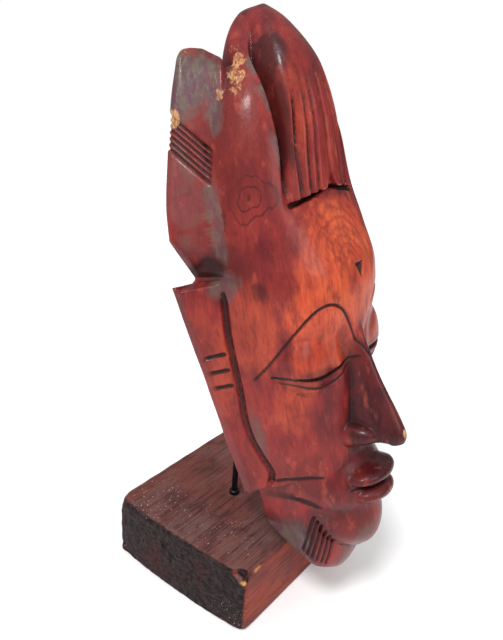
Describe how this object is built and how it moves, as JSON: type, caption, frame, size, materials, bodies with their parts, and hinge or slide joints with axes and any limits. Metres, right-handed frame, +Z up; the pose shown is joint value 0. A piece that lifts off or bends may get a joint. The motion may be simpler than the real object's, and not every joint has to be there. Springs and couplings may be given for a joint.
{
  "type": "carved wooden mask on stand",
  "caption": "Carved wooden mask with a split crest, side flanges and an incised neck band, held leaning back on a steel rod in a square timber block",
  "frame": {"origin": "centre of the base block's underside, on the rod's axis", "axes": "+Z up, the mask faces -Y, its own left side is +X"},
  "size_m": [0.118, 0.1383, 0.2912],
  "materials": {
    "carved_wood": "satin varnish over red-brown stain",
    "black_steel": "satin black",
    "base_timber": "dark stain, worn"
  },
  "bodies": {
    "base": {"stand_base": "base_timber"},
    "rod": {"stand_rod": "black_steel", "rod_collar": "black_steel"},
    "mask": {"mask_carving": "carved_wood"}
  },
  "joints": [
    {"name": "rod_swivel", "type": "hinge", "parent": "base", "child": "rod", "pos_m": [0, 0, 0.038], "axis": [0, 0, 1], "continuous": true},
    {"name": "mask_lift", "type": "slide", "parent": "rod", "child": "mask", "axis": [0, 0, 1], "range_m": [0, 0.06]}
  ]
}
